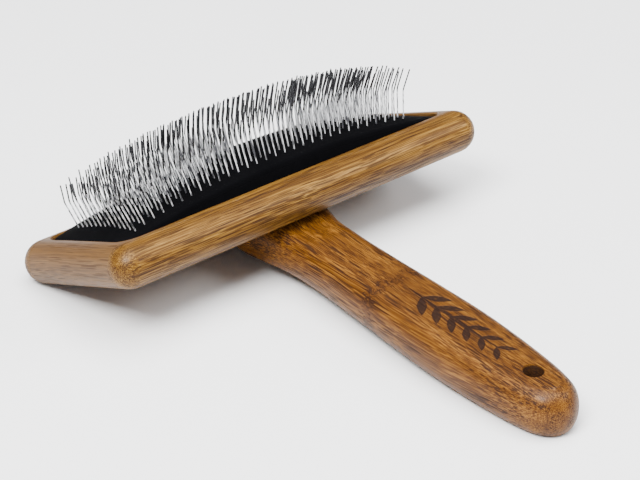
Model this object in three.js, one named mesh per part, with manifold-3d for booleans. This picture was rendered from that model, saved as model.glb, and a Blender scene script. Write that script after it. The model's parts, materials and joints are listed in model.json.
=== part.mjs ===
// Slicker brush: a bamboo tray frame that holds a domed, sprung pin pad, on a bamboo handle.
// Millimetres, +Z up, +X along the head, +Y from the handle towards the head.
// The head is drawn in its own frame (z = 0 on the rim, +z on the pin side) and then tilted into the
// position the brush rests in: far edge of the head and underside of the handle on the table.
import * as THREE from "three";
import { mergeVertices } from "three/addons/utils/BufferGeometryUtils.js";
import Module from "manifold-3d";

// ---- driving dimensions ----
const GAP = 0.3; // between pieces that touch
const HEAD_TILT = THREE.MathUtils.degToRad(23.5);

const HEAD = { length: 145, width: 64, height: 14, cornerCore: 0.25 };
const RECESS = { inset: 8, depth: 8.5, cornerRadius: 5.5 };
const PANEL_THICKNESS = HEAD.height - RECESS.depth;

// Outer face of the pad above the rim: an arc along the head, with a crown that dies out at the edges.
const DOME = { edgeRise: 4.4, radius: 370, crownRise: 5, steps: 18, acrossSteps: 8 };
const FOUNDATION_THICKNESS = 1.6;
const CUSHION_THICKNESS = 3;
const PAD_CLEARANCE = 0.5; // pad to recess wall, and between its domed layers

const PIN_ROWS = { count: 13, pitch: 2.8, middleX: -3, middleY: -2.6 };
const PINS = { perRow: 30, pitch: 3.72, wire: 0.45, lower: 9.7, upper: 7.5, fanRadius: 196 };
const PIN_LEAN = { lower: THREE.MathUtils.degToRad(-4), upper: THREE.MathUtils.degToRad(-31.4) };
const CROWN = { width: 0.6, height: 0.6, sunk: 0.25, overhang: 1.2, steps: 12 }; // joins one row's pins

const HANDLE = { thickness: 15.4, edgeWidth: 5.5, edgeHeight: 7.2, planPoints: 56 };
const HANDLE_RUN = { slope: 0.045, midHeight: 11.55, at: -30 }; // middle height above the table at y
const HANG_HOLE = { y: -129.8, diameter: 5.9 };

const CORNER_DOWEL = { diameter: 4, length: 12, x: 67.2, y: 23, z: -7 };
const HANDLE_DOWEL = { diameter: 6, x: 9, y: -19, top: -9.5, length: 12 };
const HANDLE_SCREW = { x: 6, y: -9, shank: 3.5, head: 7, headHeight: 2.2, length: 12.6 };

// ---- derived sizes ----
const RECESS_LENGTH = HEAD.length - 2 * RECESS.inset;
const RECESS_WIDTH = HEAD.width - 2 * RECESS.inset;
const PAD_LENGTH = RECESS_LENGTH - 2 * PAD_CLEARANCE;
const PAD_WIDTH = RECESS_WIDTH - 2 * PAD_CLEARANCE;
const FLOOR_Z = -RECESS.depth;
const BACK_Z = -HEAD.height;
const SEGMENTS = 16; // around a dowel, a screw or the hang hole
const CORNER_SEGMENTS = 6; // in one rounded corner of the recess
const FAR = 200; // reach of a cutting block
const SPARE = 1; // drawn beyond an edge that a later cut or join takes back
const WELD = 1e-4; // vertices nearer than this are one

// ---- materials ----
const bambooRail = new THREE.MeshStandardMaterial({ color: 0xb98a52, roughness: 0.45, metalness: 0 });
const bambooHandle = new THREE.MeshStandardMaterial({ color: 0x9c6630, roughness: 0.4, metalness: 0 });
const panelWood = new THREE.MeshStandardMaterial({ color: 0xa87b48, roughness: 0.6, metalness: 0 });
const dowelWood = new THREE.MeshStandardMaterial({ color: 0xcaa878, roughness: 0.7, metalness: 0 });
const blackFoam = new THREE.MeshStandardMaterial({ color: 0x15161a, roughness: 0.9, metalness: 0 });
const blackRubber = new THREE.MeshStandardMaterial({ color: 0x0c0c0f, roughness: 0.6, metalness: 0 });
const pinSteel = new THREE.MeshStandardMaterial({ color: 0xc9ccd1, roughness: 0.25, metalness: 1 });
const screwSteel = new THREE.MeshStandardMaterial({ color: 0xb9b18f, roughness: 0.35, metalness: 1 });

// ---- joins and cuts ----
const wasm = await Module();
wasm.setup();

function solidOf(geometry) {
  const bare = new THREE.BufferGeometry();
  bare.setAttribute("position", geometry.getAttribute("position"));
  if (geometry.index) bare.setIndex(geometry.index);
  const merged = mergeVertices(bare, WELD);
  return new wasm.Manifold(
    new wasm.Mesh({
      numProp: 3,
      vertProperties: new Float32Array(merged.getAttribute("position").array),
      triVerts: new Uint32Array(merged.index.array),
    }),
  );
}

function geometryOf(solid) {
  const mesh = solid.getMesh();
  const indexed = new THREE.BufferGeometry();
  indexed.setAttribute("position", new THREE.BufferAttribute(new Float32Array(mesh.vertProperties), 3));
  indexed.setIndex(new THREE.BufferAttribute(new Uint32Array(mesh.triVerts), 1));
  const faceted = indexed.toNonIndexed();
  faceted.computeVertexNormals();
  return faceted;
}

function cut(body, ...tools) {
  return tools.reduce((rest, tool) => rest.subtract(solidOf(tool)), solidOf(body));
}

// ---- shared shapes ----
function block(x0, x1, y0, y1, z0, z1) {
  const box = new THREE.BoxGeometry(x1 - x0, y1 - y0, z1 - z0);
  return box.translate((x0 + x1) / 2, (y0 + y1) / 2, (z0 + z1) / 2);
}

function rodAlongZ(diameter, z0, z1, x = 0, y = 0) {
  const rod = new THREE.CylinderGeometry(diameter / 2, diameter / 2, z1 - z0, SEGMENTS);
  return rod.rotateX(Math.PI / 2).translate(x, y, (z0 + z1) / 2);
}

function roundedRectangle(length, width, radius) {
  const x = length / 2 - radius;
  const y = width / 2 - radius;
  const shape = new THREE.Shape();
  shape.absarc(x, y, radius, 0, Math.PI / 2);
  shape.absarc(-x, y, radius, Math.PI / 2, Math.PI);
  shape.absarc(-x, -y, radius, Math.PI, 1.5 * Math.PI);
  shape.absarc(x, -y, radius, 1.5 * Math.PI, 2 * Math.PI);
  return shape;
}

function roundedPrism(length, width, radius, z0, z1) {
  const options = { depth: z1 - z0, bevelEnabled: false, curveSegments: CORNER_SEGMENTS };
  return new THREE.ExtrudeGeometry(roundedRectangle(length, width, radius), options).translate(0, 0, z0);
}

function arcHeight(x) {
  return DOME.edgeRise - x ** 2 / (2 * DOME.radius);
}

// The crown stays level along most of the pad and then falls to its ends, so x has the higher power.
function domeHeight(x, y) {
  const crown = (1 - (2 * x / RECESS_LENGTH) ** 4) * (1 - (2 * y / RECESS_WIDTH) ** 2);
  return arcHeight(x) + DOME.crownRise * crown;
}

// A section in (y, z) drawn along x over the whole recess, each point then raised by lift(x, y, z),
// and the result trimmed to the recess. Each layer of the pad is made this way.
function padLayer(section, lift) {
  const length = PAD_LENGTH + 2 * SPARE;
  const options = { depth: length, steps: DOME.steps, bevelEnabled: false };
  const body = new THREE.ExtrudeGeometry(section, options);
  const place = body.getAttribute("position");
  for (let i = 0; i < place.count; i += 1) {
    const x = place.getZ(i) - length / 2;
    const y = place.getX(i);
    const z = place.getY(i);
    place.setXYZ(i, x, y, z + lift(x, y, z));
  }
  const plan = roundedPrism(PAD_LENGTH, PAD_WIDTH, RECESS.cornerRadius - PAD_CLEARANCE, -FAR, FAR);
  return geometryOf(solidOf(body).intersect(solidOf(plan)));
}

// The points across a layer at one height, from the near side to the far side.
function acrossPad(z, steps = DOME.acrossSteps) {
  const halfWidth = PAD_WIDTH / 2 + SPARE;
  const across = (i) => halfWidth * (2 * i / steps - 1);
  return Array.from({ length: steps + 1 }, (_, i) => new THREE.Vector2(across(i), z));
}

// ---- tray frame ----
function trayOutside() {
  const edge = HEAD.height / 2 - HEAD.cornerCore;
  const options = {
    depth: 2 * HEAD.cornerCore,
    bevelEnabled: true,
    bevelThickness: edge,
    bevelSize: edge,
    bevelSegments: 5,
    curveSegments: 5,
  };
  const plan = roundedRectangle(HEAD.length - 2 * edge, HEAD.width - 2 * edge, HEAD.cornerCore);
  return new THREE.ExtrudeGeometry(plan, options).translate(0, 0, BACK_Z + edge);
}

function cornerDowel(endSign, sideSign, growth = 0) {
  const half = CORNER_DOWEL.length / 2 + growth;
  const rod = new THREE.CylinderGeometry(
    CORNER_DOWEL.diameter / 2 + growth,
    CORNER_DOWEL.diameter / 2 + growth,
    2 * half,
    SEGMENTS,
  );
  return rod.translate(endSign * CORNER_DOWEL.x, sideSign * CORNER_DOWEL.y, CORNER_DOWEL.z);
}

function longRail(sideSign) {
  const inside = sideSign * RECESS_WIDTH / 2;
  const outside = sideSign * FAR;
  const half = block(-FAR, FAR, Math.min(inside, outside), Math.max(inside, outside), -FAR, FAR);
  const rail = solidOf(trayOutside()).intersect(solidOf(half));
  const sockets = [-1, 1].map((endSign) => solidOf(cornerDowel(endSign, sideSign, GAP)));
  return geometryOf(sockets.reduce((rest, socket) => rest.subtract(socket), rail));
}

function endRail(endSign) {
  const reach = RECESS_LENGTH / 2 - RECESS.cornerRadius - SPARE;
  const sideY = RECESS_WIDTH / 2 - GAP;
  const near = Math.min(endSign * reach, endSign * FAR);
  const half = block(near, near + FAR - reach, -sideY, sideY, -FAR, FAR);
  const recess = roundedPrism(RECESS_LENGTH, RECESS_WIDTH, RECESS.cornerRadius, FLOOR_Z + GAP, FAR);
  const panelRoom = block(-RECESS_LENGTH / 2, RECESS_LENGTH / 2, -FAR, FAR, -FAR, FLOOR_Z + GAP);
  const sockets = [-1, 1].map((sideSign) => cornerDowel(endSign, sideSign, GAP));
  const rail = cut(trayOutside(), recess, panelRoom, ...sockets);
  return geometryOf(rail.intersect(solidOf(half)));
}

function basePanel() {
  const x = RECESS_LENGTH / 2 - GAP;
  const y = RECESS_WIDTH / 2 - GAP;
  const panel = block(-x, x, -y, y, BACK_Z, BACK_Z + PANEL_THICKNESS);
  const sides = [-1, 1];
  const tools = sides.flatMap((side) => [handleDowel(side, GAP), handleScrew(side, GAP)]);
  return geometryOf(cut(panel, ...tools));
}

// ---- pad ----
function padFormer() {
  const top = -FOUNDATION_THICKNESS - PAD_CLEARANCE - CUSHION_THICKNESS - GAP;
  const base = FLOOR_Z + GAP;
  const section = new THREE.Shape([...acrossPad(base, 1), ...acrossPad(top, 1).reverse()]);
  return padLayer(section, (x, y, z) => (z > (base + top) / 2 ? arcHeight(x) : 0));
}

function padCushion() {
  const top = -FOUNDATION_THICKNESS - PAD_CLEARANCE;
  const bottom = top - CUSHION_THICKNESS;
  const section = new THREE.Shape([...acrossPad(bottom), ...acrossPad(top).reverse()]);
  return padLayer(section, (x, y, z) => (z > (bottom + top) / 2 ? domeHeight(x, y) : arcHeight(x)));
}

function rowY(row) {
  return PIN_ROWS.middleY + (row - (PIN_ROWS.count - 1) / 2) * PIN_ROWS.pitch;
}

// The sheet that the pins stand in, with one groove for the crown strip of each row.
function foundation() {
  const halfGroove = CROWN.width / 2 + GAP;
  const grooveFloor = -CROWN.sunk - CROWN.height - GAP;
  const points = acrossPad(-FOUNDATION_THICKNESS);
  points.push(acrossPad(0, 1)[1]);
  for (let row = PIN_ROWS.count - 1; row >= 0; row -= 1) {
    points.push(new THREE.Vector2(rowY(row) + halfGroove, 0));
    points.push(new THREE.Vector2(rowY(row) + halfGroove, grooveFloor));
    points.push(new THREE.Vector2(rowY(row) - halfGroove, grooveFloor));
    points.push(new THREE.Vector2(rowY(row) - halfGroove, 0));
  }
  points.push(acrossPad(0, 1)[0]);
  return padLayer(new THREE.Shape(points), domeHeight);
}

function crownStrip(y, length) {
  const half = CROWN.width / 2;
  const section = new THREE.Shape([
    new THREE.Vector2(-half, -CROWN.sunk - CROWN.height),
    new THREE.Vector2(half, -CROWN.sunk - CROWN.height),
    new THREE.Vector2(half, -CROWN.sunk),
    new THREE.Vector2(-half, -CROWN.sunk),
  ]);
  const options = { depth: length, steps: CROWN.steps, bevelEnabled: false };
  const strip = new THREE.ExtrudeGeometry(section, options);
  const place = strip.getAttribute("position");
  for (let i = 0; i < place.count; i += 1) {
    const x = place.getZ(i) - length / 2 + PIN_ROWS.middleX;
    place.setXYZ(i, x, place.getX(i) + y, place.getY(i) + domeHeight(x, y));
  }
  return strip;
}

// A wire with one bend, leaning one way across the head up to its knee and back the other way to its tip.
// The pins fan out along x, so each one leans further the nearer it stands to an end.
function pin(x, y) {
  const fan = new THREE.Vector3(Math.sin(x / PINS.fanRadius), 0, Math.cos(x / PINS.fanRadius));
  const leaning = (lean, length) => {
    const direction = fan.clone().multiplyScalar(Math.cos(lean)).setY(Math.sin(lean));
    return direction.multiplyScalar(length);
  };
  const onPad = new THREE.Vector3(x, y, domeHeight(x, y));
  const foot = onPad.clone().setZ(onPad.z - CROWN.sunk - CROWN.height / 2);
  const knee = onPad.clone().add(leaning(PIN_LEAN.lower, PINS.lower));
  const tip = knee.clone().add(leaning(PIN_LEAN.upper, PINS.upper));
  const bends = [foot, knee, tip];
  const wire = new THREE.CylinderGeometry(PINS.wire / Math.sqrt(3), PINS.wire / Math.sqrt(3), 2, 3, 2);
  const place = wire.getAttribute("position");
  for (let i = 0; i < place.count; i += 1) {
    const bend = bends[Math.round(place.getY(i)) + 1];
    place.setXYZ(i, bend.x + place.getX(i), bend.y - place.getZ(i), bend.z);
  }
  return wire;
}

function pinRow(row) {
  const span = (PINS.perRow - 1) * PINS.pitch;
  const firstX = PIN_ROWS.middleX - span / 2;
  const comb = solidOf(crownStrip(rowY(row), span + 2 * CROWN.overhang));
  const wire = (_, i) => solidOf(pin(firstX + i * PINS.pitch, rowY(row)));
  const pins = Array.from({ length: PINS.perRow }, wire);
  return geometryOf(pins.reduce((rest, next) => rest.add(next), comb));
}

// ---- handle and what holds it ----
function handleDowel(sideSign, growth = 0) {
  const { diameter, x, y, top, length } = HANDLE_DOWEL;
  return rodAlongZ(diameter + 2 * growth, top - length - growth, top + growth, sideSign * x, y);
}

// Countersunk wood screw, driven through the base panel into the handle.
function handleScrew(sideSign, growth = 0) {
  const headTop = FLOOR_Z - GAP + growth;
  const headBottom = FLOOR_Z - GAP - HANDLE_SCREW.headHeight;
  const tip = FLOOR_Z - GAP - HANDLE_SCREW.length;
  const shank = HANDLE_SCREW.shank / 2 + growth;
  const head = HANDLE_SCREW.head / 2 + growth;
  const profile = [
    new THREE.Vector2(0, tip - growth),
    new THREE.Vector2(shank, tip - growth + HANDLE_SCREW.shank / 2),
    new THREE.Vector2(shank, headBottom),
    new THREE.Vector2(head, headTop),
    new THREE.Vector2(0, headTop),
  ];
  const screw = new THREE.LatheGeometry(profile, SEGMENTS).rotateX(Math.PI / 2);
  return screw.translate(sideSign * HANDLE_SCREW.x, HANDLE_SCREW.y, 0);
}

// Plan of the handle inside its rounded edge: one side from the end under the head to the butt, mirrored.
function handlePlan() {
  const side = [
    new THREE.Vector2(7, -5),
    new THREE.Vector2(10.2, -12),
    new THREE.Vector2(8.8, -21),
    new THREE.Vector2(6.8, -30),
    new THREE.Vector2(5.7, -43),
    new THREE.Vector2(6.1, -60),
    new THREE.Vector2(7, -80),
    new THREE.Vector2(7.5, -98),
    new THREE.Vector2(6.8, -114),
    new THREE.Vector2(5.8, -125),
    new THREE.Vector2(4.6, -133),
    new THREE.Vector2(2.9, -137.9),
  ];
  const mirrored = side.map((point) => new THREE.Vector2(-point.x, point.y)).reverse();
  const headEnd = new THREE.Vector2(0, -1.5);
  const butt = new THREE.Vector2(0, -139.7);
  const loop = [headEnd, ...side, butt, ...mirrored].map(({ x, y }) => new THREE.Vector3(x, y, 0));
  const outline = new THREE.CatmullRomCurve3(loop, true).getPoints(HANDLE.planPoints);
  return new THREE.Shape(outline.slice(1));
}

function handleBody(headFrame) {
  const options = {
    depth: HANDLE.thickness - 2 * HANDLE.edgeHeight,
    bevelEnabled: true,
    bevelThickness: HANDLE.edgeHeight,
    bevelSize: HANDLE.edgeWidth,
    bevelSegments: 4,
  };
  const body = new THREE.ExtrudeGeometry(handlePlan(), options);
  body.translate(0, 0, -options.depth / 2);
  const place = body.getAttribute("position");
  for (let i = 0; i < place.count; i += 1) {
    const middle = HANDLE_RUN.midHeight + HANDLE_RUN.slope * (place.getY(i) - HANDLE_RUN.at);
    place.setZ(i, place.getZ(i) + middle);
  }
  const underTable = block(-FAR, FAR, -FAR, FAR, -FAR, 0);
  const overHead = block(-FAR, FAR, -FAR, FAR, BACK_Z - GAP, FAR).applyMatrix4(headFrame);
  const hole = rodAlongZ(HANG_HOLE.diameter, -FAR, FAR, 0, HANG_HOLE.y);
  const sockets = [-1, 1].flatMap((side) => [handleDowel(side, GAP), handleScrew(side, GAP)]);
  sockets.forEach((socket) => socket.applyMatrix4(headFrame));
  return geometryOf(cut(body, underTable, overHead, hole, ...sockets));
}

// ---- assembly ----
function named(name, geometry, material) {
  const mesh = new THREE.Mesh(geometry, material);
  mesh.name = name;
  return mesh;
}

function headGroup() {
  const head = new THREE.Group();
  head.rotation.x = -HEAD_TILT;
  const edge = HEAD.height / 2;
  const farEdge = new THREE.Vector3(0, HEAD.width / 2 - edge, -edge).applyEuler(head.rotation);
  head.position.z = edge - farEdge.z;
  head.add(named("front_rail", longRail(-1), bambooRail));
  head.add(named("rear_rail", longRail(1), bambooRail));
  head.add(named("left_end_rail", endRail(-1), bambooRail));
  head.add(named("right_end_rail", endRail(1), bambooRail));
  head.add(named("base_panel", basePanel(), panelWood));
  for (const [endName, endSign] of [["left", -1], ["right", 1]]) {
    head.add(named(`corner_dowel_${endName}_front`, cornerDowel(endSign, -1), dowelWood));
    head.add(named(`corner_dowel_${endName}_rear`, cornerDowel(endSign, 1), dowelWood));
    head.add(named(`handle_dowel_${endName}`, handleDowel(endSign), dowelWood));
    head.add(named(`handle_screw_${endName}`, handleScrew(endSign), screwSteel));
  }
  head.add(named("pad_former", padFormer(), panelWood));
  head.add(named("cushion", padCushion(), blackFoam));
  head.add(named("foundation", foundation(), blackRubber));
  for (let row = 0; row < PIN_ROWS.count; row += 1) {
    head.add(named(`pin_row_${String(row + 1).padStart(2, "0")}`, pinRow(row), pinSteel));
  }
  head.updateMatrixWorld(true);
  return head;
}

const brush = new THREE.Group();
const head = headGroup();
brush.add(head);
brush.add(named("handle", handleBody(head.matrixWorld), bambooHandle));

// The part's own frame has its origin at the bottom centre of the whole brush.
const bounds = new THREE.Box3().setFromObject(brush, true);
const centre = bounds.getCenter(new THREE.Vector3());
brush.position.set(-centre.x, -centre.y, -bounds.min.z);
brush.updateMatrixWorld(true);

export default brush;
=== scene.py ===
import json
import math
import random

import bmesh
import bpy
from mathutils import Matrix, Vector


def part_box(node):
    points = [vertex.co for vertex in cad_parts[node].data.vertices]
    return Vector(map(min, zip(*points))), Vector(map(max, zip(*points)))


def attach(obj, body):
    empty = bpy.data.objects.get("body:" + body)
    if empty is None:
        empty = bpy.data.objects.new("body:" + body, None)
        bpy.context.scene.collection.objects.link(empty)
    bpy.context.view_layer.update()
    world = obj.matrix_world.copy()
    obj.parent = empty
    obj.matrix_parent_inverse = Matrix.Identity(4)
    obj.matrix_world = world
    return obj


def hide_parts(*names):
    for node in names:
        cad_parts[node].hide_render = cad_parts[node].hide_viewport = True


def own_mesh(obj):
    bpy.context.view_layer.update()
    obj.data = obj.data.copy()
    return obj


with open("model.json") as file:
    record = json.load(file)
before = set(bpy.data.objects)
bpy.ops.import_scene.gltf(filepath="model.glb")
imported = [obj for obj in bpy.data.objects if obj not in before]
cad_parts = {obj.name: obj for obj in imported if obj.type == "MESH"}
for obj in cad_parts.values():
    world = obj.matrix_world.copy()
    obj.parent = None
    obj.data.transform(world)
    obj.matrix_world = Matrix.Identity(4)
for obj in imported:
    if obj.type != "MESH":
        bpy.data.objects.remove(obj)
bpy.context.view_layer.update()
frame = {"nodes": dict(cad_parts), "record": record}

MM = 0.001
random.seed(7)

# ---- driving dimensions, in millimetres ----
# What the CAD has too is as it has it, apart from the wire and the hang hole, which differ a little.
HEAD_HEIGHT = 14
HEAD_WIDTH = 64
EDGE_RADIUS = HEAD_HEIGHT / 2
RECESS_INSET = 8
RECESS_CORNER = 5.5
RECESS_DEPTH = 8.5
RIM_CHAMFER = 0.45
GLUE_LINE = 0.06

DOME_RISE = 4.4
DOME_RADIUS = 370
CROWN_RISE = 5
PAD_CLEARANCE = 0.5
FOUNDATION_THICKNESS = 1.6
CUSHION_THICKNESS = 3
FOAM_GAP = 0.05  # under the face
FOAM_SKIRT = 3.4  # how much further down the visible cushion goes than the CAD's

ROWS = 13
ROW_PITCH = 2.8
FIELD_X, FIELD_Y = -3, -2.6  # middle of the pin field
PINS_IN_ROW = 30
PIN_PITCH = 3.72
WIRE = 0.46
WIRE_SUNK = 0.3  # into the face at the foot
TIP_TAPER = 0.6
LOWER = 9.7
UPPER = 7.5
LOWER_LEAN = math.radians(-4)
UPPER_LEAN = math.radians(-31.4)
FAN_RADIUS = 196

HANDLE_THICKNESS = 15.4
HANDLE_SLOPE = 0.045
HANDLE_MIDDLE = 11.55  # height of the middle of the grip above the table, at the neck
NECK_Y = -30  # from the middle of the head
HOLE_Y = -129.8
HOLE_DIAMETER = 5.5

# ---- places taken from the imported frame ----
# The pad is pressed straight down into the tray, so its slide gives the way that the head faces.
HEAD_UP = -Vector(frame["record"]["behaviour"]["joints"][0]["axis"]).normalized()
HEAD_ALONG = Vector((1, 0, 0))
HEAD_ACROSS = HEAD_UP.cross(HEAD_ALONG)
TRAY_LOW = Vector(map(min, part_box("front_rail")[0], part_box("rear_rail")[0]))
TRAY_HIGH = Vector(map(max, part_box("front_rail")[1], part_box("rear_rail")[1]))
HEAD_LENGTH = (TRAY_HIGH.x - TRAY_LOW.x) / MM
HEAD_ORIGIN = (TRAY_LOW + TRAY_HIGH) / 2 + HEAD_UP * HEAD_HEIGHT / 2 * MM
HEAD = Matrix.Translation(HEAD_ORIGIN) @ Matrix((HEAD_ALONG, HEAD_ACROSS, HEAD_UP)).transposed().to_4x4()

RECESS_LENGTH = HEAD_LENGTH - 2 * RECESS_INSET
RECESS_WIDTH = HEAD_WIDTH - 2 * RECESS_INSET
PAD_LENGTH = RECESS_LENGTH - 2 * PAD_CLEARANCE
PAD_WIDTH = RECESS_WIDTH - 2 * PAD_CLEARANCE

HANDLE_LOW, HANDLE_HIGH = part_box("handle")
TABLE_Z = HANDLE_LOW.z
# The handle is drawn with y measured from this line, the one its CAD plan is measured from.
HANDLE_ORIGIN_Y = HANDLE_LOW.y / MM + 145.5


# ---- node helpers ----
class Graph:
    """Short names for the nodes that the materials use."""

    def __init__(self, name):
        self.material = bpy.data.materials.new(name)
        self.material.use_nodes = True
        self.tree = self.material.node_tree
        self.shader = self.tree.nodes["Principled BSDF"]

    def node(self, kind, **settings):
        made = self.tree.nodes.new(kind)
        for key, value in settings.items():
            setattr(made, key, value)
        return made

    def put(self, socket, value):
        if isinstance(value, bpy.types.NodeSocket):
            self.tree.links.new(value, socket)
        else:
            socket.default_value = value

    def math(self, operation, a, b=0.0, c=0.0):
        made = self.node("ShaderNodeMath", operation=operation)
        for socket, value in zip(made.inputs, (a, b, c)):
            self.put(socket, value)
        return made.outputs[0]

    def add(self, a, b):
        return self.math("ADD", a, b)

    def times(self, a, b):
        return self.math("MULTIPLY", a, b)

    def smooth(self, value, low, high, start=0.0, end=1.0):
        made = self.node("ShaderNodeMapRange", interpolation_type="SMOOTHSTEP")
        for socket, number in zip(made.inputs, (value, low, high, start, end)):
            self.put(socket, number)
        return made.outputs[0]

    def vector(self, x, y, z):
        made = self.node("ShaderNodeCombineXYZ")
        for socket, value in zip(made.inputs, (x, y, z)):
            self.put(socket, value)
        return made.outputs[0]

    def place_mm(self):
        """x, y and z of the point on the piece, in the piece's own frame, in millimetres."""
        place = self.node("ShaderNodeTexCoord").outputs["Object"]
        scaled = self.node("ShaderNodeVectorMath", operation="SCALE")
        self.put(scaled.inputs[0], place)
        scaled.inputs["Scale"].default_value = 1 / MM
        split = self.node("ShaderNodeSeparateXYZ")
        self.put(split.inputs[0], scaled.outputs[0])
        return list(split.outputs)

    def noise(self, place, scale=1.0, detail=3.0, roughness=0.5):
        made = self.node("ShaderNodeTexNoise")
        self.put(made.inputs["Vector"], place)
        made.inputs["Scale"].default_value = scale
        made.inputs["Detail"].default_value = detail
        made.inputs["Roughness"].default_value = roughness
        return made.outputs["Fac"]

    def cells(self, place, scale=1.0, feature="F1"):
        made = self.node("ShaderNodeTexVoronoi", feature=feature)
        self.put(made.inputs["Vector"], place)
        made.inputs["Scale"].default_value = scale
        return made

    def ramp(self, value, stops):
        made = self.node("ShaderNodeValToRGB")
        self.put(made.inputs[0], value)
        elements = made.color_ramp.elements
        while len(elements) < len(stops):
            elements.new(0.5)
        for element, (position, colour) in zip(elements, stops):
            element.position = position
            element.color = (*colour, 1)
        return made.outputs[0]

    def mix(self, amount, a, b, blend="MIX"):
        made = self.node("ShaderNodeMix", data_type="RGBA", blend_type=blend)
        self.put(made.inputs["Factor"], amount)
        self.put(made.inputs["A"], (*a, 1) if isinstance(a, tuple) else a)
        self.put(made.inputs["B"], (*b, 1) if isinstance(b, tuple) else b)
        return made.outputs["Result"]

    def bump(self, height, strength, distance_mm, normal=None):
        made = self.node("ShaderNodeBump")
        made.inputs["Strength"].default_value = strength
        made.inputs["Distance"].default_value = distance_mm * MM
        self.put(made.inputs["Height"], height)
        if normal is not None:
            self.put(made.inputs["Normal"], normal)
        return made.outputs[0]


# ---- bamboo ----
BAMBOO_TONES = {
    "rail": [(0.0, (0.022, 0.007, 0.0005)), (0.3, (0.062, 0.024, 0.0020)), (0.6, (0.125, 0.056, 0.0068)),
             (1.0, (0.27, 0.148, 0.031))],
    "end": [(0.0, (0.045, 0.018, 0.003)), (0.4, (0.078, 0.034, 0.0066)), (0.65, (0.104, 0.048, 0.0105)),
            (1.0, (0.145, 0.073, 0.019))],
    "handle": [(0.0, (0.018, 0.0045, 0.0003)), (0.3, (0.055, 0.0175, 0.0012)),
               (0.6, (0.120, 0.0435, 0.0044)), (1.0, (0.26, 0.112, 0.0155))],
    "panel": [(0.0, (0.034, 0.012, 0.002)), (0.35, (0.072, 0.029, 0.004)), (0.6, (0.118, 0.052, 0.008)),
              (1.0, (0.21, 0.105, 0.021))],
}
BUNDLE_COLOUR = (0.012, 0.003, 0.0004)


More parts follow.
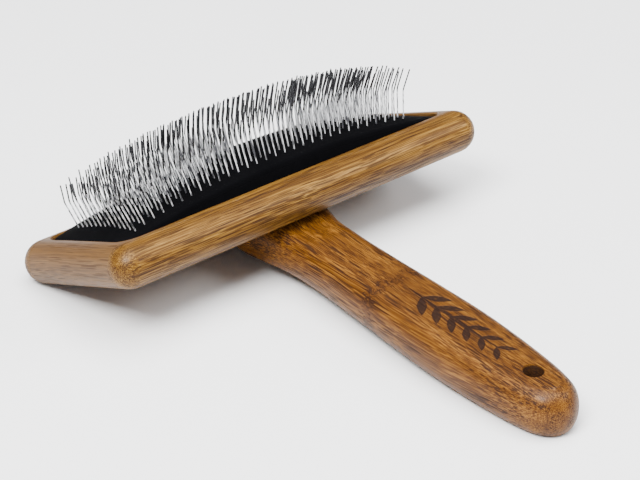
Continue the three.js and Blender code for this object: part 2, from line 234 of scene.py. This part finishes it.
def bamboo(name, tones, grain, strip, shift=0.0, nodes=(), bundle_share=1.0, scorch_and_shade=None):
    """Strips of carbonised bamboo side by side, seen along or across their fibres.

    grain is the axis that the fibres follow and strip the thickness of one strip. The fibre bundles are
    long thin cells, so they show as dashes along the grain and as dots on a cut end. nodes are the places
    along the grain of the culm's node bands, and the last argument makes the mask of what is darkened:
    what is scorched, and painted shade such as that in the hang hole.
    """
    g = Graph(name)
    axes = g.place_mm()
    along = g.add(axes.pop("xyz".index(grain)), shift)
    side, depth = axes

    slow = g.vector(g.times(side, 0.05), g.times(depth, 0.05), g.times(along, 0.022))
    wander = g.noise(slow, 1.0, 2.0)
    drift = g.times(g.add(wander, -0.5), 3.0)
    band = 0.0
    knot = None
    if nodes:
        wobble = g.noise(g.vector(g.times(side, 0.35), g.times(depth, 0.35), shift), 1.0, 2.0)
        place = g.add(along, g.times(g.add(wobble, -0.5), 9.0))
        for centre in nodes:
            away = g.math("ABSOLUTE", g.add(place, -centre - shift))
            near = g.smooth(away, 0.4, 3.2, 1.0, 0.0)
            band = near if knot is None else g.math("MAXIMUM", band, near)
            knot = band
        curl = g.noise(g.vector(g.times(side, 0.5), g.times(depth, 0.5), g.times(along, 0.4)), 1.0, 2.0)
        drift = g.add(drift, g.times(g.times(g.add(curl, -0.5), band), 5.0))
    side = g.add(side, drift)
    depth = g.add(depth, g.times(drift, 0.6))

    def stretched(across_scale, along_scale):
        across = [g.times(axis, across_scale) for axis in (side, depth)]
        return g.vector(*across, g.times(along, along_scale))

    broad = g.noise(stretched(0.28, 0.008), 1.0, 3.0, 0.6)
    fibre = g.noise(stretched(3.4, 0.028), 1.0, 3.0, 0.7)
    fine = g.noise(stretched(7.0, 0.09), 1.0, 2.0, 0.6)

    strip_place = g.math("DIVIDE", g.add(side, 100 * strip), strip)
    strip_number = g.math("FLOOR", strip_place)
    tint = g.node("ShaderNodeTexWhiteNoise", noise_dimensions="1D")
    g.put(tint.inputs["W"], strip_number)
    in_strip = g.math("FRACT", strip_place)
    edge = g.math("MINIMUM", in_strip, g.math("SUBTRACT", 1.0, in_strip))
    glue = g.smooth(edge, 0.0, 0.02, 1.0, 0.0)

    tone = g.add(g.smooth(broad, 0.3, 0.7, 0.0, 0.24), g.smooth(fibre, 0.38, 0.62, 0.0, 0.5))
    tone = g.add(tone, g.smooth(fine, 0.36, 0.64, 0.0, 0.26))
    tone = g.add(tone, g.times(g.add(tint.outputs["Value"], -0.5), 0.14))
    if knot is not None:
        tone = g.add(tone, g.times(knot, -0.16))
    colour = g.ramp(tone, tones)

    bundles = g.cells(stretched(2.0, 0.085)).outputs["Distance"]
    clusters = g.noise(stretched(0.3, 0.022), 1.0, 2.0)
    size = g.smooth(clusters, 0.34, 0.6, 0.14, 0.46)
    dash = g.smooth(g.math("DIVIDE", bundles, size), 0.85, 1.1, 1.0, 0.0)
    ticks = g.cells(stretched(2.1, 0.13)).outputs["Distance"]
    ticks_here = g.smooth(g.noise(stretched(0.5, 0.012), 1.0, 2.0), 0.42, 0.56)
    tick = g.times(g.smooth(ticks, 0.16, 0.36, 1.0, 0.0), ticks_here)
    dark = g.math("MAXIMUM", g.times(dash, 0.85 * bundle_share), g.times(tick, 0.6 * bundle_share))
    if knot is not None:
        specks = g.cells(stretched(0.9, 0.42)).outputs["Distance"]
        speck = g.times(g.smooth(specks, 0.2, 0.42, 1.0, 0.0), g.smooth(knot, 0.05, 0.5))
        dark = g.math("MAXIMUM", dark, g.times(speck, 0.75))
    colour = g.mix(dark, colour, BUNDLE_COLOUR)
    colour = g.mix(g.times(glue, 0.4), colour, BUNDLE_COLOUR)

    height = g.add(g.times(fibre, 0.5), g.times(fine, 0.25))
    height = g.add(height, g.times(dark, -0.55))
    height = g.add(height, g.times(glue, -0.3))
    if scorch_and_shade is not None:
        # The mask darkens the scorched sprig and paints shade into the hang hole, both to this near-black
        # colour.
        scorched_and_shaded = scorch_and_shade(g)
        colour = g.mix(g.times(scorched_and_shaded, 0.94), colour, (0.010, 0.003, 0.001))
        height = g.add(height, g.times(scorched_and_shaded, -3.0))
    g.put(g.shader.inputs["Base Color"], colour)
    roughness = g.add(g.times(fibre, 0.16), 0.36)
    roughness = g.add(roughness, g.times(dark, 0.2))
    if scorch_and_shade is not None:
        roughness = g.add(roughness, g.times(scorched_and_shaded, 0.25))
    g.put(g.shader.inputs["Roughness"], roughness)
    g.put(g.shader.inputs["Normal"], g.bump(height, 0.55, 0.09))
    g.shader.inputs["Coat Weight"].default_value = 0.05
    g.shader.inputs["Coat Roughness"].default_value = 0.2
    g.shader.inputs["Specular IOR Level"].default_value = 0.14
    return g.material


def leaf_sprig_and_hole_shade(g):
    """A plain sprig of bamboo leaves scorched into the top of the handle, and painted shade on its hole's
    wall, together with the wall's dark end grain.
    """
    x, y, z = g.place_mm()
    stem_start, stem_end, stem_x = -83.0, -115.0, -0.4
    mask = None

    def union(a, b):
        return b if a is None else g.math("MAXIMUM", a, b)

    def ellipse(cx, cy, long, wide, turn):
        dx, dy = g.add(x, -cx), g.add(y, -cy)
        c, s = math.cos(turn), math.sin(turn)
        u = g.math("DIVIDE", g.add(g.times(dx, c), g.times(dy, s)), long)
        v = g.math("DIVIDE", g.add(g.times(dx, -s), g.times(dy, c)), wide)
        distance = g.math("SQRT", g.add(g.times(u, u), g.times(v, v)))
        pointed = g.add(distance, g.times(g.math("ABSOLUTE", g.times(u, v)), 0.5))
        return g.smooth(pointed, 0.9, 1.1, 1.0, 0.0)

    leaves = 6
    for i in range(leaves):
        y_leaf = stem_start + (stem_end - stem_start) * i / (leaves - 1)
        for sign in (-1, 1):
            turn = math.radians(-90 + sign * 42)
            reach = 4.6 - 0.3 * i
            cx = stem_x + math.cos(turn) * reach
            cy = y_leaf + math.sin(turn) * reach
            mask = union(mask, ellipse(cx, cy, reach, 1.6 - 0.1 * i, turn))
    stem = ellipse(stem_x, (stem_start + stem_end) / 2 + 2, 22.0, 0.6, math.radians(90))
    mask = union(mask, stem)
    on_top = g.smooth(z, 12.0, 13.0)
    uneven = g.smooth(g.noise(g.vector(x, y, z), 0.9, 3.0), 0.25, 0.5, 0.7, 1.0)
    branded = g.times(g.times(mask, on_top), uneven)
    # Painted shade: the hang hole's wall is darkened for the shade inside the hole, together with its
    # dark end grain.
    across_hole = g.add(y, -HOLE_Y)
    from_hole = g.math("SQRT", g.add(g.times(x, x), g.times(across_hole, across_hole)))
    hole_shade_and_end_grain = g.smooth(from_hole, HOLE_DIAMETER / 2 + 0.15, HOLE_DIAMETER / 2 + 0.5, 0.9, 0.0)
    return g.math("MAXIMUM", branded, hole_shade_and_end_grain)


# ---- the other materials ----
def black_rubber():
    g = Graph("pad_rubber")
    x, y, z = g.place_mm()
    grain = g.noise(g.vector(x, y, z), 3.2, 4.0, 0.6)
    cloudy = g.noise(g.vector(x, y, z), 0.08, 3.0, 0.5)
    lint = g.cells(g.vector(x, y, z), 0.55).outputs["Distance"]
    dust = g.times(g.smooth(lint, 0.03, 0.09, 1.0, 0.0), 0.3)
    base = g.mix(cloudy, (0.0006, 0.0006, 0.0009), (0.0016, 0.0016, 0.0021))
    g.put(g.shader.inputs["Base Color"], g.mix(dust, base, (0.009, 0.009, 0.010)))
    g.put(g.shader.inputs["Roughness"], g.add(g.times(grain, 0.1), 0.88))
    g.put(g.shader.inputs["Normal"], g.bump(grain, 0.35, 0.06))
    g.shader.inputs["Specular IOR Level"].default_value = 0.03
    return g.material


def black_foam():
    g = Graph("cushion_foam")
    x, y, z = g.place_mm()
    pores = g.cells(g.vector(x, y, z), 2.4).outputs["Distance"]
    cloudy = g.noise(g.vector(x, y, z), 0.3, 3.0)
    colour = g.mix(cloudy, (0.0006, 0.0006, 0.0008), (0.0015, 0.0015, 0.002))
    g.put(g.shader.inputs["Base Color"], colour)
    g.put(g.shader.inputs["Roughness"], g.add(g.times(pores, 0.1), 0.88))
    g.put(g.shader.inputs["Normal"], g.bump(g.smooth(pores, 0.05, 0.45), 0.5, 0.15))
    g.shader.inputs["Specular IOR Level"].default_value = 0.03
    return g.material


def steel(name, colour, roughness, bright_scale):
    g = Graph(name)
    x, y, z = g.place_mm()
    drawn = g.noise(g.vector(g.times(x, 6.0), g.times(y, 6.0), g.times(z, 0.8)), bright_scale, 3.0)
    dull = tuple(0.72 * part for part in colour)
    g.put(g.shader.inputs["Base Color"], g.mix(g.smooth(drawn, 0.35, 0.7), colour, dull))
    g.put(g.shader.inputs["Roughness"], g.add(g.times(drawn, 0.12), roughness))
    g.shader.inputs["Metallic"].default_value = 1.0
    return g.material


def wire_steel():
    """Drawn wire with painted reflection and shade: a painted near-white tone below the bend with some
    wires painted duller, and painted dark above it.
    """
    g = Graph("pin_steel")
    along = g.node("ShaderNodeAttribute", attribute_name="along").outputs["Fac"]
    x, y, z = g.place_mm()
    drawn = g.noise(g.vector(g.times(x, 1.5), g.times(y, 1.5), g.times(z, 0.3)), 1.0, 3.0)
    # Painted shade: above the bend each wire gets a dark tone that stands in for dark reflection and
    # shadow on uniform wire.
    upper = g.smooth(g.add(along, g.times(drawn, 1.5)), LOWER - 0.2, LOWER + 1.6)
    # Painted reflection: below the bend the wires get a near-white tone, with some wires painted duller
    # as shade.
    each = g.noise(g.vector(g.times(x, 2.3), g.times(y, 2.3), 0.0), 1.0, 2.0)
    painted_reflection_lower = g.mix(g.smooth(each, 0.47, 0.56), (0.97, 0.97, 0.98), (0.10, 0.10, 0.11))
    # The dark tone of the painted shade above the bend.
    dark = g.mix(drawn, (0.012, 0.012, 0.014), (0.045, 0.045, 0.05))
    g.put(g.shader.inputs["Base Color"], g.mix(upper, painted_reflection_lower, dark))
    g.put(g.shader.inputs["Roughness"], g.add(g.times(upper, -0.12), 0.36))
    g.shader.inputs["Metallic"].default_value = 0.75
    return g.material


def raw_wood(name, light, dark, grain):
    g = Graph(name)
    axes = g.place_mm()
    along = g.times(axes.pop("xyz".index(grain)), 0.06)
    rings = g.noise(g.vector(g.times(axes[0], 0.9), g.times(axes[1], 0.9), along), 1.0, 4.0, 0.6)
    g.put(g.shader.inputs["Base Color"], g.mix(g.smooth(rings, 0.3, 0.7), light, dark))
    g.put(g.shader.inputs["Roughness"], g.add(g.times(rings, 0.2), 0.6))
    g.put(g.shader.inputs["Normal"], g.bump(rings, 0.3, 0.08))
    return g.material


def pale_floor():
    g = Graph("floor_pale")
    x, y, z = g.place_mm()
    mottle = g.noise(g.vector(x, y, z), 0.01, 3.0)
    g.put(g.shader.inputs["Base Color"], g.mix(mottle, (0.93, 0.93, 0.93), (0.96, 0.96, 0.96)))
    g.shader.inputs["Roughness"].default_value = 0.7
    return g.material


# ---- mesh helpers ----
def mesh_object(name, bm, matrix, material, smooth_angle=None):
    mesh = bpy.data.meshes.new(name)
    bmesh.ops.recalc_face_normals(bm, faces=bm.faces)
    bm.to_mesh(mesh)
    bm.free()
    made = bpy.data.objects.new(name, mesh)
    bpy.context.collection.objects.link(made)
    made.matrix_world = matrix
    mesh.materials.append(material)
    if smooth_angle is not None:
        mesh.shade_smooth()
        mesh.set_sharp_from_angle(angle=math.radians(smooth_angle))
    return made


def apply_modifiers(made):
    depsgraph = bpy.context.evaluated_depsgraph_get()
    finished = bpy.data.meshes.new_from_object(made.evaluated_get(depsgraph))
    made.modifiers.clear()
    old = made.data
    made.data = finished
    bpy.data.meshes.remove(old)
    return made


def cut(made, tool):
    modifier = made.modifiers.new("cut", "BOOLEAN")
    modifier.operation = "DIFFERENCE"
    modifier.solver = "EXACT"
    modifier.object = tool
    apply_modifiers(made)
    bpy.data.objects.remove(tool, do_unlink=True)
    return made


def scaled(points):
    return [Vector(point) * MM for point in points]


def arc(cx, cy, radius, start, end, steps):
    turns = [math.radians(start + (end - start) * i / steps) for i in range(steps + 1)]
    return [(cx + radius * math.cos(t), cy + radius * math.sin(t)) for t in turns]


def rounded_plan(length, width, radius, steps=10):
    x, y = length / 2 - radius, width / 2 - radius
    corners = [(x, y, 0), (-x, y, 90), (-x, -y, 180), (x, -y, 270)]
    arcs = [arc(cx, cy, radius, start, start + 90, steps) for cx, cy, start in corners]
    return [point for corner in arcs for point in corner]


ROUND = [2 * math.pi * i / 8 for i in range(8)]  # the angles around a wire or its collar


def join_loops(bm, loops):
    """Side faces between each loop of vertices and the next."""
    count = len(loops[0])
    for low, high in zip(loops, loops[1:]):
        for i in range(count):
            j = (i + 1) % count
            bm.faces.new((low[i], low[j], high[j], high[i]))


def stack(rings):
    """A closed solid through rings of equal length, capped at both ends."""
    bm = bmesh.new()
    loops = [[bm.verts.new(point) for point in scaled(ring)] for ring in rings]
    join_loops(bm, loops)
    bm.faces.new(loops[0][::-1])
    bm.faces.new(loops[-1])
    return bm


# ---- tray ----
def tray_block(material):
    """The tray's rounded outside before the recess is cut and the rails are parted."""
    rings = []
    steps = 14
    for i in range(steps + 1):
        turn = math.radians(-90 + 180 * i / steps)
        inset = EDGE_RADIUS * (1 - math.cos(turn)) * 0.998
        z = -EDGE_RADIUS + EDGE_RADIUS * math.sin(turn)
        plan = rounded_plan(HEAD_LENGTH - 2 * inset, HEAD_WIDTH - 2 * inset, EDGE_RADIUS - inset)
        rings.append([(x, y, z) for x, y in plan])
    made = mesh_object("tray_block", stack(rings), HEAD, material)
    chamfer, above = RIM_CHAMFER, 5
    sizes = [(0, -HEAD_HEIGHT - 5), (0, -chamfer), (2 * chamfer, 0), (2 * chamfer, above)]
    hollow = []
    for growth, z in sizes:
        plan = rounded_plan(RECESS_LENGTH + growth, RECESS_WIDTH + growth, RECESS_CORNER + growth / 2)
        hollow.append([(x, y, z) for x, y in plan])
    return cut(made, mesh_object("hollow", stack(hollow), HEAD, material))


def part_off(source, name, keep, material):
    """The part of source on the inside of each plane in keep, a list of (point, outward normal)."""
    bm = bmesh.new()
    bm.from_mesh(source.data)
    for point, normal in keep:
        geometry = bm.verts[:] + bm.edges[:] + bm.faces[:]
        result = bmesh.ops.bisect_plane(
            bm, geom=geometry, plane_co=Vector(point) * MM, plane_no=Vector(normal), clear_outer=True)
        rim = [edge for edge in result["geom_cut"] if isinstance(edge, bmesh.types.BMEdge)]
        bmesh.ops.holes_fill(bm, edges=rim)
    made = mesh_object(name, bm, HEAD, material, smooth_angle=35)
    return made


def rails():
    """Long rails over the full length, with the end rails glued between them."""
    along = bamboo("bamboo_rail_front", BAMBOO_TONES["rail"], "x", 7.5, shift=31, bundle_share=0.8)
    along_rear = bamboo("bamboo_rail_rear", BAMBOO_TONES["rail"], "x", 7.5, shift=180, bundle_share=0.8)
    end_left = bamboo("bamboo_rail_left", BAMBOO_TONES["end"], "y", 7.5, shift=63, bundle_share=0.55)
    end_right = bamboo("bamboo_rail_right", BAMBOO_TONES["end"], "y", 7.5, shift=240, bundle_share=0.55)
    block = tray_block(along)
    seam = RECESS_WIDTH / 2
    wall = RECESS_LENGTH / 2 - RECESS_CORNER - 0.5
    half = GLUE_LINE / 2
    made = [
        part_off(block, "rail_front", [((0, -seam - half, 0), (0, 1, 0))], along),
        part_off(block, "rail_rear", [((0, seam + half, 0), (0, -1, 0))], along_rear),
    ]
    for sign, name, material in ((-1, "rail_left", end_left), (1, "rail_right", end_right)):
        keep = [
            ((0, seam - half, 0), (0, 1, 0)),
            ((0, -seam + half, 0), (0, -1, 0)),
            ((sign * wall, 0, 0), (-sign, 0, 0)),
        ]
        made.append(part_off(block, name, keep, material))
    bpy.data.objects.remove(block, do_unlink=True)
    for piece, node in zip(made, ("front_rail", "rear_rail", "left_end_rail", "right_end_rail")):
        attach(piece, "brush_body")
        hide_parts(node)


def back_panel():
    material = bamboo("bamboo_panel", BAMBOO_TONES["panel"], "x", 6.0, shift=320, bundle_share=0.8)
    soften = 0.35
    rings = []
    for inset, z in ((soften, -HEAD_HEIGHT), (0, -HEAD_HEIGHT + soften), (0, -RECESS_DEPTH)):
        grow = 2 * (GLUE_LINE + inset)
        plan = rounded_plan(RECESS_LENGTH - grow, RECESS_WIDTH - grow, 0.4, 3)
        rings.append([(x, y, z) for x, y in plan])
    panel = mesh_object("panel_back", stack(rings), HEAD, material, smooth_angle=35)
    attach(panel, "brush_body")
    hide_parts("base_panel")


# ---- pad ----
def dome_height(x, y):
    crown = (1 - (2 * x / RECESS_LENGTH) ** 4) * (1 - (2 * y / RECESS_WIDTH) ** 2)
    return DOME_RISE - x ** 2 / (2 * DOME_RADIUS) + CROWN_RISE * crown


def layer(name, material, top, bottom, round_edge, soften=0.0):
    """A domed sheet between two depths under the pad's outer face, with a rounded upper edge."""
    cells_x, cells_y = 96, 36
    bm = bmesh.new()
    half_x, half_y = PAD_LENGTH / 2, PAD_WIDTH / 2
    corner = RECESS_CORNER - PAD_CLEARANCE

    def on_plan(u, v, inset):
        """A point of the unit square moved into the rounded plan."""
        x, y = u * (half_x - inset), v * (half_y - inset)
        radius = corner - inset
        over_x, over_y = abs(x) - (half_x - inset - radius), abs(y) - (half_y - inset - radius)
        if over_x > 0 and over_y > 0:
            reach = math.hypot(over_x, over_y)
            limit = max(over_x, over_y)
            x = math.copysign(half_x - inset - radius + over_x * limit / reach, x)
            y = math.copysign(half_y - inset - radius + over_y * limit / reach, y)
        return x, y

    def grid(depth, inset):
        rows = []
        for j in range(cells_y + 1):
            line = []
            for i in range(cells_x + 1):
                x, y = on_plan(2 * i / cells_x - 1, 2 * j / cells_y - 1, inset)
                line.append(bm.verts.new(Vector((x, y, dome_height(x, y) - depth)) * MM))
            rows.append(line)
        return rows

    def rim(rows):
        near, far = rows[0], rows[-1][::-1]
        right = [row[-1] for row in rows[1:-1]]
        left = [row[0] for row in rows[1:-1]][::-1]
        return near + right + far + left

    steps = 4
    upper = grid(top, round_edge)
    lower = grid(bottom, soften)
    for rows in (upper, lower):
        for a, b in zip(rows, rows[1:]):
            for i in range(cells_x):
                bm.faces.new((a[i], a[i + 1], b[i + 1], b[i]))
    loops = [rim(upper)]
    for k in range(1, steps + 1):
        turn = math.radians(90 * k / steps)
        inset, depth = round_edge * (1 - math.sin(turn)), top + round_edge * (1 - math.cos(turn))
        grow = round_edge - inset
        loop = []
        for vert in loops[0]:
            x, y = vert.co.x / MM, vert.co.y / MM
            out = Vector((x - max(-half_x + corner, min(half_x - corner, x)),
                          y - max(-half_y + corner, min(half_y - corner, y))))
            step = out.normalized() * grow if out.length > 0 else Vector((0, 0))
            loop.append(bm.verts.new(Vector((x + step.x, y + step.y, dome_height(x, y) - depth)) * MM))
        loops.append(loop)
    loops.append(rim(lower))
    join_loops(bm, loops)
    return mesh_object(name, bm, HEAD, material, smooth_angle=50)


def pin_feet(row):
    y = FIELD_Y + (row - (ROWS - 1) / 2) * ROW_PITCH
    return [(FIELD_X + (i - (PINS_IN_ROW - 1) / 2) * PIN_PITCH, y) for i in range(PINS_IN_ROW)]


def pin_seats(material):
    """The low collar of rubber that each wire pushes up where it comes through the face."""
    bm = bmesh.new()
    profile = [(0.75, -0.05), (0.5, 0.06), (0.34, 0.2), (0.2, 0.26)]  # radius, height above the face
    for row in range(ROWS):
        for x, y in pin_feet(row):
            loops = []
            for radius, lift in profile:
                ring = [(x + radius * math.cos(t), y + radius * math.sin(t)) for t in ROUND]
                points = scaled([(px, py, dome_height(px, py) + lift) for px, py in ring])
                loops.append([bm.verts.new(point) for point in points])
            join_loops(bm, loops)
            bm.faces.new(loops[-1])
    return mesh_object("pin_seats", bm, HEAD, material, smooth_angle=60)


def pad():
    rubber = black_rubber()
    face = layer("pad_face", rubber, 0.0, FOUNDATION_THICKNESS, round_edge=0.9)
    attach(face, "pin_bed")
    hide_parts("foundation")
    seats = pin_seats(rubber)
    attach(seats, "pin_bed")
    top = FOUNDATION_THICKNESS + FOAM_GAP
    bottom = top + CUSHION_THICKNESS + FOAM_SKIRT
    body = layer("pad_cushion", black_foam(), top, bottom, round_edge=0.3, soften=0.4)
    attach(body, "brush_body")
    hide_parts("cushion")
    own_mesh(body)


# ---- pins ----
def wire_points(x, y):
    """The middle line of one wire, as (point, distance along it), a little uneven as bent wire is."""
    fan = x / FAN_RADIUS + random.gauss(0, 0.012)
    lower_lean = LOWER_LEAN + random.gauss(0, 0.018)
    upper_lean = UPPER_LEAN + random.gauss(0, 0.035)
    rise = Vector((math.sin(fan), 0, math.cos(fan)))
    foot = Vector((x, y, dome_height(x, y) - WIRE_SUNK))
    below = (rise * math.cos(lower_lean) + Vector((0, math.sin(lower_lean), 0))).normalized()
    above = (rise * math.cos(upper_lean) + Vector((0, math.sin(upper_lean), 0))).normalized()
    knee = foot + below * (LOWER + WIRE_SUNK + random.gauss(0, 0.12))
    tip = knee + above * (UPPER + random.gauss(0, 0.1))
    bend = 0.8
    start, end = knee - below * bend, knee + above * bend
    turn = [start.lerp(knee, t).lerp(knee.lerp(end, t), t) for t in (0.0, 0.25, 0.5, 0.75, 1.0)]
    line = [foot, foot.lerp(start, 0.5), *turn, end.lerp(tip, 0.5), tip.lerp(end, 0.02), tip]
    distances = [0.0]
    for a, b in zip(line, line[1:]):
        distances.append(distances[-1] + (b - a).length)
    return list(zip(line, distances))


def pins():
    material = wire_steel()
    for row in range(ROWS):
        bm = bmesh.new()
        along = bm.verts.layers.float.new("along")
        for x, y in pin_feet(row):
            points = wire_points(x, y)
            loops = []
            last = len(points) - 1
            for k, (point, distance) in enumerate(points):
                before, after = points[max(k - 1, 0)][0], points[min(k + 1, last)][0]
                turn = (after - before).to_track_quat("Z", "Y")
                radius = WIRE / 2 * (TIP_TAPER if k == last else 1)
                loop = []
                for t in ROUND:
                    outward = turn @ Vector((math.cos(t), math.sin(t), 0))
                    vert = bm.verts.new((point + outward * radius) * MM)
                    vert[along] = distance
                    loop.append(vert)
                loops.append(loop)
            join_loops(bm, loops)
            bm.faces.new(loops[0][::-1])
            bm.faces.new(loops[-1])
        name = f"pin_row_{row + 1:02d}"
        made = mesh_object(f"wires_{row + 1:02d}", bm, HEAD, material, smooth_angle=60)
        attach(made, "pin_bed")
        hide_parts(name)


# ---- handle ----
HANDLE_EDGE = (5.5, 7.2)  # width and height of the rounded edge
HANDLE_PLAN = [  # one side of the plan inside the rounded edge, from the end under the head to the butt
    (7, -5), (10.2, -12), (8.8, -21), (6.8, -30), (5.7, -43), (6.1, -60), (7, -80), (7.5, -98),
    (6.8, -114), (5.8, -125), (4.6, -133), (2.9, -137.9),
]


def plan_loop(per_span=9):
    """Closed smooth curve through the plan and its mirror image, as (point, outward normal)."""
    mirrored = [(-x, y) for x, y in reversed(HANDLE_PLAN)]
    knots = [Vector(point) for point in [(0, -1.5), *HANDLE_PLAN, (0, -139.7), *mirrored]]
    points = []
    for k in range(len(knots)):
        a, b, c, d = (knots[(k + i) % len(knots)] for i in (-1, 0, 1, 2))
        spans = [max((q - p).length, 1e-6) ** 0.5 for p, q in ((a, b), (b, c), (c, d))]
        into = ((b - a) / spans[0] - (c - a) / (spans[0] + spans[1]) + (c - b) / spans[1]) * spans[1]
        out = ((c - b) / spans[1] - (d - b) / (spans[1] + spans[2]) + (d - c) / spans[2]) * spans[1]
        for i in range(per_span):
            t = i / per_span
            points.append((2 * t ** 3 - 3 * t ** 2 + 1) * b + (t ** 3 - 2 * t ** 2 + t) * into
                          + (-2 * t ** 3 + 3 * t ** 2) * c + (t ** 3 - t ** 2) * out)
    loop = []
    for k, point in enumerate(points):
        run = points[(k + 1) % len(points)] - points[k - 1]
        loop.append((point, Vector((-run.y, run.x)).normalized()))
    return loop


def handle_middle(y):
    return HANDLE_MIDDLE + HANDLE_SLOPE * (y - NECK_Y)


def handle_height(x, y, lift):
    """Height above the table of a point that is lift above the handle's middle."""
    z = handle_middle(y) + lift
    scoop = 0.7 * math.exp(-((y + 33) / 6) ** 2) * max(0.0, lift / 7.7)
    return max(z - scoop, 0.0)


def handle_rings():
    """Rings from the middle line of the handle's underside, over its edge, to that of its top."""
    wide, tall = HANDLE_EDGE
    flat = HANDLE_THICKNESS / 2 - tall
    loop = plan_loop()
    rings = []
    steps, across = 18, 5
    for side in (-1, 1):
        shares = [k / across for k in range(across)]
        face = []
        for share in shares:
            crown = 0.35 * (1 - share ** 2)
            ring = [(p.x * share, p.y, side * (flat + tall + crown)) for p, n in loop]
            face.append(ring)
        edge = []
        for k in range(steps // 2 + 1):
            turn = math.radians(90 - 90 * k / (steps // 2))
            reach, lift = wide * math.cos(turn), flat + tall * math.sin(turn)
            edge.append([(p.x + n.x * reach, p.y + n.y * reach, side * lift) for p, n in loop])
        half = face + edge
        rings += half if side < 0 else half[::-1]
    return [[(x, y, handle_height(x, y, lift)) for x, y, lift in ring] for ring in rings]


def handle():
    tones = BAMBOO_TONES["handle"]
    material = bamboo("bamboo_handle", tones, "y", 6.5, nodes=(-71.0,), scorch_and_shade=leaf_sprig_and_hole_shade)
    place = Matrix.Translation(Vector((0, HANDLE_ORIGIN_Y * MM, TABLE_Z)))
    rings = handle_rings()
    bm = stack(rings)
    bmesh.ops.remove_doubles(bm, verts=bm.verts, dist=1e-6)
    bmesh.ops.dissolve_degenerate(bm, edges=bm.edges, dist=1e-6)
    made = mesh_object("handle_shell", bm, place, material)
    hole_z = HANDLE_MIDDLE + HANDLE_SLOPE * (HOLE_Y - NECK_Y)
    radius = HOLE_DIAMETER / 2
    top = hole_z + HANDLE_THICKNESS / 2
    levels = [(radius + 1.4, -1), (radius + 0.3, 0.1), (radius, 0.5), (radius, top - 0.45)]
    levels += [(radius + 0.25, top - 0.1), (radius + 0.6, top + 0.5)]
    rings = [[(x, y + HOLE_Y, z) for x, y in arc(0, 0, r, 0, 360 - 360 / 32, 31)] for r, z in levels]
    cut(made, mesh_object("hole_tool", stack(rings), place, material))
    bm = bmesh.new()
    bm.from_mesh(made.data)
    to_handle = place.inverted()
    back = to_handle @ (HEAD @ Vector((0, 0, -(HEAD_HEIGHT + 0.05) * MM)))
    geometry = bm.verts[:] + bm.edges[:] + bm.faces[:]
    result = bmesh.ops.bisect_plane(
        bm, geom=geometry, plane_co=back, plane_no=HEAD_UP, clear_outer=True)
    rim = [edge for edge in result["geom_cut"] if isinstance(edge, bmesh.types.BMEdge)]
    bmesh.ops.holes_fill(bm, edges=rim)
    bmesh.ops.recalc_face_normals(bm, faces=bm.faces)
    bm.to_mesh(made.data)
    bm.free()
    made.data.shade_smooth()
    made.data.set_sharp_from_angle(angle=math.radians(40))
    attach(made, "brush_body")
    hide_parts("handle")


# ---- hidden pieces that stay as the CAD made them ----
def dress_hidden_nodes():
    # The dowels get a dark carbonised tone, which also serves as painted shade where they show in the gap
    # at the neck.
    dowel = raw_wood("dowel_wood", (0.075, 0.030, 0.005), (0.035, 0.012, 0.002), "y")
    former = raw_wood("former_wood", (0.55, 0.42, 0.26), (0.42, 0.29, 0.16), "x")
    screw = steel("screw_steel", (0.72, 0.66, 0.5), 0.25, 2.0)
    kinds = {"dowel": dowel, "former": former, "screw": screw}
    for name, node in frame["nodes"].items():
        for kind, material in kinds.items():
            if kind in name:
                node.data.materials.clear()
                node.data.materials.append(material)


# ---- stage ----
CAMERA = {"azimuth": -40.019, "elevation": 30.931, "distance": 0.690, "lens": 122.37}
CAMERA_TARGET = Vector((0.00553, 0.03033, 0.00991))


def direction(azimuth, elevation):
    a, e = math.radians(azimuth), math.radians(elevation)
    return Vector((math.sin(a) * math.cos(e), -math.cos(a) * math.cos(e), math.sin(e)))


def camera():
    data = bpy.data.cameras.new("camera")
    data.lens = CAMERA["lens"]
    data.clip_start, data.clip_end = 0.01, 20
    made = bpy.data.objects.new("camera", data)
    bpy.context.collection.objects.link(made)
    back = direction(CAMERA["azimuth"], CAMERA["elevation"])
    made.location = CAMERA_TARGET + back * CAMERA["distance"]
    made.rotation_euler = back.to_track_quat("Z", "Y").to_euler()
    bpy.context.scene.camera = made


def softbox(name, azimuth, elevation, distance, size, power):
    data = bpy.data.lights.new(name, "AREA")
    data.shape = "RECTANGLE"
    data.size, data.size_y = size
    data.energy = power
    made = bpy.data.objects.new(name, data)
    bpy.context.collection.objects.link(made)
    back = direction(azimuth, elevation)
    made.location = back * distance
    made.rotation_euler = back.to_track_quat("Z", "Y").to_euler()


def studio():
    bm = bmesh.new()
    bmesh.ops.create_grid(bm, x_segments=8, y_segments=8, size=4)
    floor = mesh_object("floor", bm, Matrix.Identity(4), pale_floor())
    softbox("key", -70, 55, 1.3, (0.6, 0.45), 36)
    softbox("top", 10, 84, 1.3, (1.1, 1.1), 36)
    softbox("glare", 48, 38, 1.4, (0.9, 0.35), 12)
    world = bpy.data.worlds.new("studio")
    world.use_nodes = True
    world.node_tree.nodes["Background"].inputs[0].default_value = (0.9, 0.93, 1.0, 1)
    world.node_tree.nodes["Background"].inputs[1].default_value = 0.4
    bpy.context.scene.world = world


rails()
back_panel()
pad()
pins()
handle()
dress_hidden_nodes()
studio()
camera()
